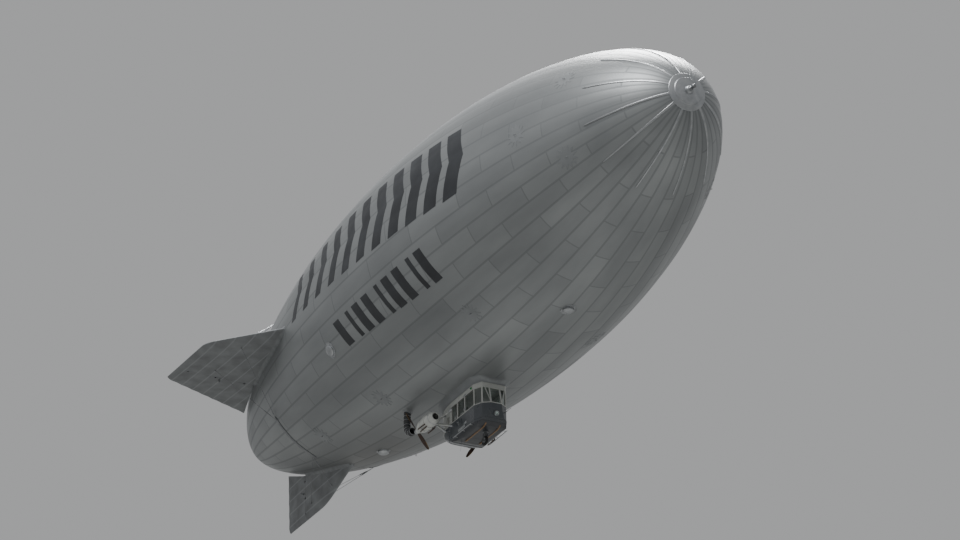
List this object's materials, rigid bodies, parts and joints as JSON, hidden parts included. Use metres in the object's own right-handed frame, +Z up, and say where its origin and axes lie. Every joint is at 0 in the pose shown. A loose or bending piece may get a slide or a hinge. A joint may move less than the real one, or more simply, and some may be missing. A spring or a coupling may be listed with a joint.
{
  "type": "advertising blimp balloon",
  "caption": "Crewed blimp with a silver gas envelope, cruciform tail, slung gondola, pusher engines and a landing wheel.",
  "frame": {"origin": "the envelope's centre of buoyancy, on its long axis", "axes": "+Z up, +Y towards the tail, so the nose points to -Y and starboard is -X"},
  "size_m": [14.3, 38.905, 15.3085],
  "materials": {
    "silver_dope": "aluminium-doped satin",
    "fin_fabric": "doped satin",
    "steel": "satin",
    "bare_metal": "satin",
    "window": "clear",
    "upholstery": "grained",
    "tyre": "matt",
    "dark_enamel": "gloss",
    "light_enamel": "gloss"
  },
  "bodies": {
    "airframe": {"envelope": "silver_dope", "air_valve_forward": "steel", "air_valve_aft": "steel", "gas_valve": "steel", "nose_battens": "bare_metal", "nose_dish": "bare_metal", "mooring_spindle": "steel", "fin_top": "fin_fabric", "fin_port": "fin_fabric", "fin_bottom": "fin_fabric", "fin_starboard": "fin_fabric", "stays_top_port": "steel", "stays_port_bottom": "steel", "stays_bottom_starboard": "steel", "stays_starboard_top": "steel", "gondola_keel": "dark_enamel", "gondola_roof": "light_enamel", "gondola_tail": "light_enamel", "gondola_nose": "light_enamel", "gondola_side_port": "light_enamel", "gondola_side_starboard_front": "light_enamel", "gondola_side_starboard_rear": "light_enamel", "windscreen": "window", "windows_port": "window", "windows_starboard_front": "window", "windows_starboard_rear": "window", "pilot_seat": "upholstery", "copilot_seat": "upholstery", "rear_bench": "upholstery", "instrument_panel": "dark_enamel", "elevator_wheel": "steel", "handrail_port": "bare_metal", "handrail_starboard": "bare_metal", "cowling_port": "light_enamel", "engine_port": "steel", "outrigger_port": "light_enamel", "air_scoop_port": "fin_fabric", "cowling_starboard": "light_enamel", "engine_starboard": "steel", "outrigger_starboard": "light_enamel", "air_scoop_starboard": "fin_fabric", "landing_leg": "steel"},
    "rudder_top": {"rudder_top": "fin_fabric"},
    "rudder_bottom": {"rudder_bottom": "fin_fabric"},
    "elevator_port": {"elevator_port": "fin_fabric"},
    "elevator_starboard": {"elevator_starboard": "fin_fabric"},
    "propeller_port": {"propeller_port": "dark_enamel"},
    "propeller_starboard": {"propeller_starboard": "dark_enamel"},
    "landing_fork": {"landing_fork": "steel", "landing_axle": "bare_metal"},
    "landing_wheel": {"wheel_rim": "bare_metal", "wheel_tyre": "tyre"},
    "cabin_door": {"cabin_door": "light_enamel", "door_window": "window"}
  },
  "joints": [
    {"name": "rudder_top_hinge", "type": "hinge", "parent": "airframe", "child": "rudder_top", "pos_m": [0, 14.4384, 5.3], "axis": [0, 0, 1], "range_deg": [-30, 30]},
    {"name": "rudder_bottom_hinge", "type": "hinge", "parent": "airframe", "child": "rudder_bottom", "pos_m": [0, 16.4736, -3.9], "axis": [0, 0, 1], "range_deg": [-30, 30]},
    {"name": "elevator_port_hinge", "type": "hinge", "parent": "airframe", "child": "elevator_port", "pos_m": [5.3, 14.4384, 0], "axis": [1, 0, 0], "range_deg": [-25, 25]},
    {"name": "elevator_starboard_hinge", "type": "hinge", "parent": "airframe", "child": "elevator_starboard", "pos_m": [-5.3, 14.4384, 0], "axis": [1, 0, 0], "range_deg": [-25, 25]},
    {"name": "propeller_port_spin", "type": "hinge", "parent": "airframe", "child": "propeller_port", "pos_m": [1.4, 3.54, -6.42], "axis": [0, 1, 0], "continuous": true},
    {"name": "propeller_starboard_spin", "type": "hinge", "parent": "airframe", "child": "propeller_starboard", "pos_m": [-1.4, 3.54, -6.42], "axis": [0, 1, 0], "continuous": true},
    {"name": "landing_fork_swivel", "type": "hinge", "parent": "airframe", "child": "landing_fork", "pos_m": [0, 0.15, -7.65], "axis": [0, 0, 1], "continuous": true},
    {"name": "landing_wheel_roll", "type": "hinge", "parent": "landing_fork", "child": "landing_wheel", "pos_m": [0, 0.23, -7.9485], "axis": [1, 0, 0], "continuous": true},
    {"name": "cabin_door_hinge", "type": "hinge", "parent": "airframe", "child": "cabin_door", "pos_m": [-0.742, 0.5225, -6.6], "axis": [0, 0, 1], "range_deg": [0, 95]}
  ],
  "couplings": [
    {"joint": "rudder_bottom_hinge", "follows": "rudder_top_hinge", "ratio": 1},
    {"joint": "elevator_starboard_hinge", "follows": "elevator_port_hinge", "ratio": 1}
  ]
}
